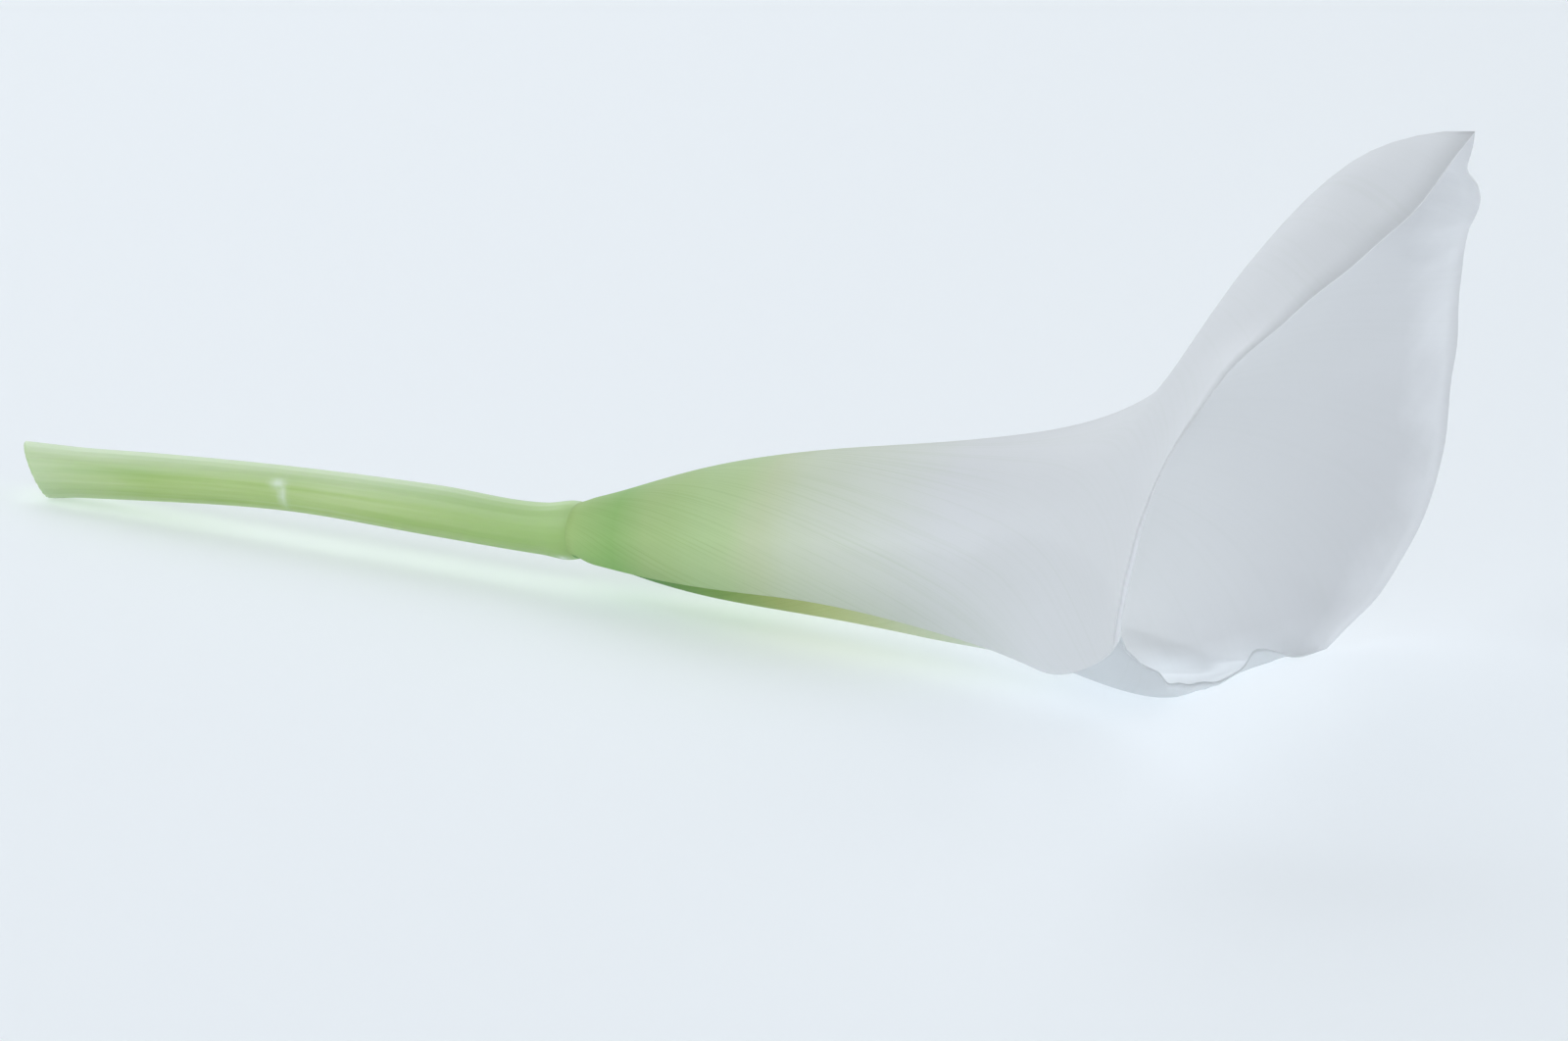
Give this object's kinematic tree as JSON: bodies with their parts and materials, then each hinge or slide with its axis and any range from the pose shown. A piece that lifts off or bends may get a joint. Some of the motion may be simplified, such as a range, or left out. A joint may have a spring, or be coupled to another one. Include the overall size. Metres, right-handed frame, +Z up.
{
  "type": "calla lily flower",
  "caption": "Calla lily flower lying on its side: a cut stalk, a white trumpet of one rolled spathe with a drawn-out tip, and the spadix inside it.",
  "frame": {"origin": "on the surface that the flower lies on, under the middle of its box", "axes": "+X along the flower, from the cut end of the stalk to the mouth of the trumpet; +Z up from the surface; the layer that laps outside is on the -Y side"},
  "size_m": [0.2924, 0.126, 0.1014],
  "materials": {
    "stalk_green": "satin, smooth waxy green plant skin with fine lengthwise ribs",
    "spathe_white": "satin, translucent white petal, green towards its neck, with fine veins",
    "spadix_yellow": "matt, densely beaded with tiny yellow florets"
  },
  "bodies": {
    "root": {"stem": "stalk_green", "spathe": "spathe_white", "spadix": "spadix_yellow"}
  },
  "joints": []
}
